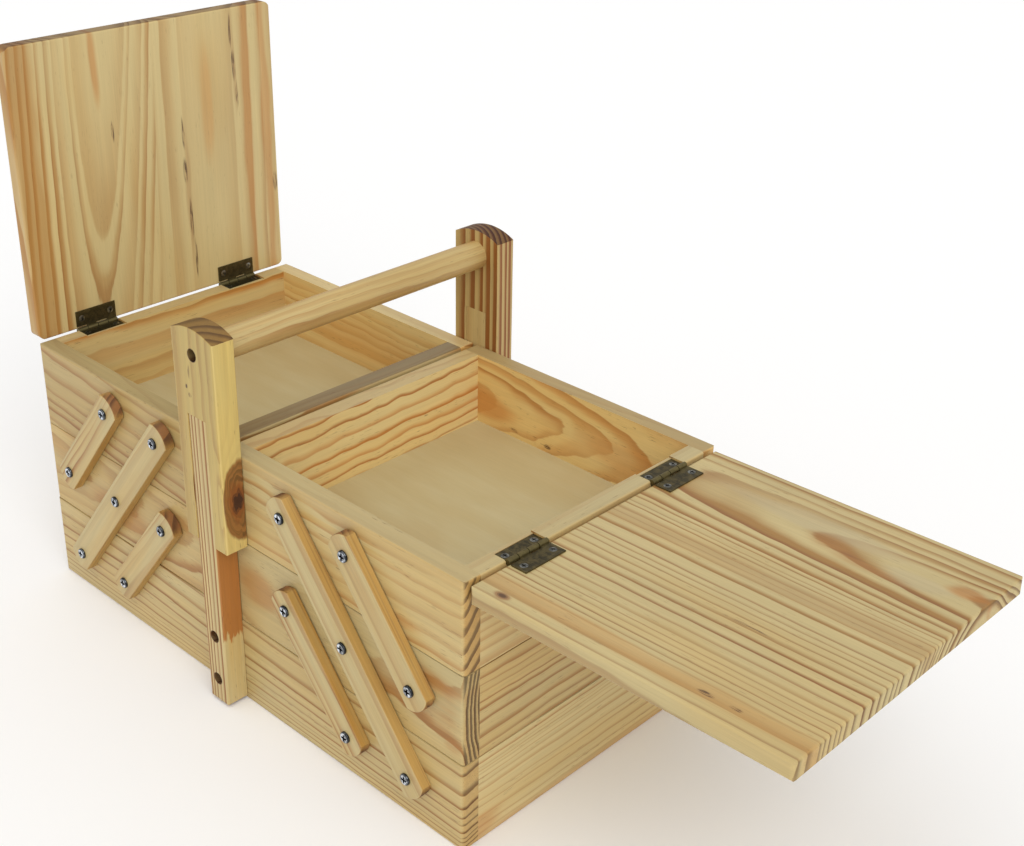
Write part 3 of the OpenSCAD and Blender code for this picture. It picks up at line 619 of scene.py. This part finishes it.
# The flank brightening of this post's right side is a painted highlight.
board("front_upper_post", ZXY, dict(v0=52, w0=-150, gap=8.5, low=10, mid=3, ripple=1.0), 66.4, contrast=0.7, holes=POST_HOLES,
      end_tint=(0.48, 0.36, 0.25), end_lines=0.9, end_dark=0.55, tone=-0.3, early=hexa("BEA562"), early_warm=hexa("C6A454"), pale=-0.01,
      flank=((1.26, 1.31, 1.42), 0.8),
      tan=hexa("A5824A"), patches=[((225, -16), (60, 3), hexa("A8864A"), 0.5)], ticks=[((233, -4), (4, 0.6)), ((218, -5), (1.4, 0.9)), ((223, -8), (1.2, 0.8))],
      side_knots=[((153, -112), (10, 4.6), 1.0)], halo=((153, -110), (29, 13), hexa("94622F"), 0.95))
board("back_upper_post", ZXY, dict(v0=-28, w0=45, gap=3.4, low=3, mid=0.8, vary=0.8), 68.8, contrast=1.9, holes=POST_HOLES,
      end_tint=(0.34, 0.24, 0.16), end_lines=0.8, tan=hexa("965C26"), late=hexa("7A461C"), fade=0.85, pale=-0.10, tone=0.9)
board("handle_bar", (1, 0, 2), dict(v0=70, w0=215, gap=6.0, low=9, mid=4, ripple=1.5), 71.3, contrast=0.9, speck=0.6, tone=0.35, grain=1.3, fade=0.2, pale=-0.06)


def plywood(node, seed):
    """Smooth rotary-cut veneer: wide faint figure, fine short pores."""
    m, t, shader = new_material("veneer_" + node)
    pos, normal = object_mm(t)
    x, y, z = split(t, pos)
    p = vec(t, x, y, z)
    warp = noise(t, p, (160, 90, 40), seed, 2.0)
    flow = noise(t, vec(t, x + warp * 60.0, y, z), (120, 26, 30), seed + 2.0, 3.0, 0.55)
    col = mix(t, step(flow, 0.3, 0.7), hexa("C2B489"), hexa("BCAA7C"))
    cloud = noise(t, p, (70, 45, 30), seed + 4.0, 2.0)
    col = mix(t, step(cloud, 0.45, 0.8) * 0.4, col, hexa("B8A070"))
    fibre = noise(t, p, (20, 0.8, 0.8), seed + 6.0, 3.0)
    shade = (fibre - 0.5) * 0.14 + 1.0
    col = mix(t, 1.0, col, vec(t, shade, shade, shade), "MULTIPLY")
    plies = math_node(t, "PINGPONG", z + (seed * 0.3), 0.8)
    nx, ny, nz = split(t, normal)
    edge = step(math_node(t, "ABSOLUTE", nz), 0.4, 0.8, 1.0, 0.0)
    col = mix(t, edge * step(plies, 0.3, 0.5) * 0.5, col, hexa("86643A"))
    put(t, shader.inputs["Base Color"], col)
    put(t, shader.inputs["Roughness"], (fibre - 0.5) * 0.12 + 0.52)
    shader.inputs["Specular IOR Level"].default_value = 0.35
    bump(t, shader, fibre, 0.12, 0.0002)
    dress(node, m)


for i, n in enumerate(("base_floor", "left_mid_tray_floor", "right_mid_tray_floor", "left_top_tray_floor", "right_top_tray_floor")):
    plywood(n, 80 + 4.3 * i)


# ---------------------------------------------------------------- metal
PIVOTS = {"base": [(167, 33.5), (115, 33.5)], "mid": [(115, 97), (171, 97), (63, 97)], "top": [(63, 160.5), (119, 160.5)]}


def zinc(name, base, dark, seed, rough=0.3, pivots=(), spots=(0.3, 0.75, 0.7)):
    """Plated steel with painted shade in its hollows; round the listed pivots the heads get a painted dark edge and
    painted shade in the recess.
    """
    m, t, shader = new_material(name)
    pos, normal = object_mm(t)
    a = noise(t, pos, (2.6, 2.6, 2.6), seed, 1.0)
    b = noise(t, pos, (0.35, 0.35, 0.35), seed + 3.0, 2.0)
    geo = t.nodes.new("ShaderNodeNewGeometry")
    # painted shade: concave places are darkened towards the dark colour
    cavity_shade = step(Num(t, geo.outputs["Pointiness"]), 0.42, 0.50, 1.0, 0.0)
    if pivots:
        spots = (0.42, 0.56, 0.3)
    col = mix(t, step(a, spots[0], spots[1]), base, tuple(c * spots[2] for c in base))
    col = mix(t, cavity_shade * 0.8, col, dark)
    if pivots:
        x, y, z = split(t, pos)
        ax, ay = math_node(t, "ABSOLUTE", x), math_node(t, "ABSOLUTE", y)
        d = None
        for px, pz in pivots:
            dx, dz = ax - px, z - pz
            e = math_node(t, "SQRT", dx * dx + dz * dz)
            d = e if d is None else math_node(t, "MINIMUM", d, e)
        # painted shade: a dark ring on the rim of each pivot head
        col = mix(t, step(d, 2.6, 3.4) * 0.85, col, dark)
        # painted shade in the cross recess of each pivot head
        recess_shade = step(d, 2.3, 2.7, 1.0, 0.0) * step(ay, 114.9, 115.5, 1.0, 0.0)
        col = mix(t, recess_shade * 0.9, col, dark)
    put(t, shader.inputs["Base Color"], col)
    shader.inputs["Metallic"].default_value = 1
    put(t, shader.inputs["Roughness"], (a - 0.5) * 0.2 + (b - 0.5) * 0.16 + rough)
    bump(t, shader, b, 0.15, 0.0001)
    return m


def bronze(name, seed, base="1E180D", light="5C5032"):
    """Aged brass plating: dark olive brown, brighter on its raised parts from rubbed wear and a painted highlight on
    the knuckles, with scratches.
    """
    m, t, shader = new_material(name)
    pos, normal = object_mm(t)
    a = noise(t, pos, (4.0, 4.0, 4.0), seed, 4.0, 0.65)
    b = noise(t, pos, (0.5, 0.5, 0.5), seed + 2.0, 3.0)
    scratch = noise(t, pos, (9.0, 0.25, 0.6), seed + 5.0, 1.0)
    geo = t.nodes.new("ShaderNodeNewGeometry")
    # raised parts lighten: rubbed wear, and a painted highlight on the knuckles
    wear_and_highlight = step(Num(t, geo.outputs["Pointiness"]), 0.50, 0.62)
    col = mix(t, step(a, 0.4, 0.64), hexa(base), hexa(light))
    col = mix(t, wear_and_highlight * 0.6, col, hexa("80744A"))
    col = mix(t, step(scratch, 0.60, 0.75) * 0.5, col, hexa("857A4E"))
    put(t, shader.inputs["Base Color"], col)
    shader.inputs["Metallic"].default_value = 0.8
    put(t, shader.inputs["Roughness"], (a - 0.5) * 0.3 + (b - 0.5) * 0.2 + 0.46)
    bump(t, shader, a * 0.6 + b * 0.4, 0.25, 0.00015)
    return m


STEEL = zinc("steel", hexa("8E8E88"), hexa("0C0E10"), 93.0, 0.34, spots=(0.38, 0.62, 0.4))
DULL = zinc("dull_screw", hexa("5A4430"), hexa("120C08"), 95.0, 0.45)
for n in NODES:
    if "pivot_screws" in n:
        tier = "base" if n.startswith("base") else n.split("_")[1]
        dress(n, zinc("zinc_" + n, hexa("E4ECF6"), hexa("0C1016"), 91.0 + len(n), 0.2, pivots=PIVOTS[tier]))
    elif "hinge" in n and "screws" in n:
        dress(n, STEEL)
    elif "hinge" in n:
        tones = ("15110A", "2E2616") if n == "left_hinge_tray_leaves" else ("201A0F", "463C24")
        dress(n, bronze("aged_" + n, 97.0 + len(n), *(tones if n.startswith("left") else ())))
dress("handle_screws", DULL)

# ---------------------------------------------------------------- floor and light
mesh = bpy.data.meshes.new("ground")
bm = bmesh.new()
bmesh.ops.create_grid(bm, x_segments=1, y_segments=1, size=30)
bm.to_mesh(mesh)
bm.free()
ground = bpy.data.objects.new("ground", mesh)
ground.location = (0, 0, cad_lo.z)
scene.collection.objects.link(ground)
gm, gt, gs = new_material("ground")
gs.inputs["Base Color"].default_value = (0.97, 0.97, 0.97, 1)
gs.inputs["Roughness"].default_value = 0.9
gs.inputs["Specular IOR Level"].default_value = 0.1
ground.data.materials.append(gm)

world = bpy.data.worlds.new("studio")
scene.world = world
world.use_nodes = True
world.node_tree.nodes["Background"].inputs[0].default_value = (1.0, 0.995, 0.985, 1)
world.node_tree.nodes["Background"].inputs[1].default_value = 0.66


def soft_sun(name, at, angle, power, colour=(1, 1, 1)):
    """A very wide sun shining from the direction at towards the origin."""
    data = bpy.data.lights.new(name, "SUN")
    data.angle = math.radians(angle)
    data.energy = power
    data.color = colour
    o = bpy.data.objects.new(name, data)
    o.location = Vector(at)
    o.rotation_mode = "QUATERNION"
    o.rotation_quaternion = (-Vector(at)).to_track_quat("-Z", "Y")
    scene.collection.objects.link(o)


soft_sun("key", (0.8, -0.52, 0.85), 46, 1.25)
soft_sun("top", (-0.2, -0.3, 1.0), 60, 0.40)

scene.view_settings.view_transform = "Standard"
scene.view_settings.look = "None"
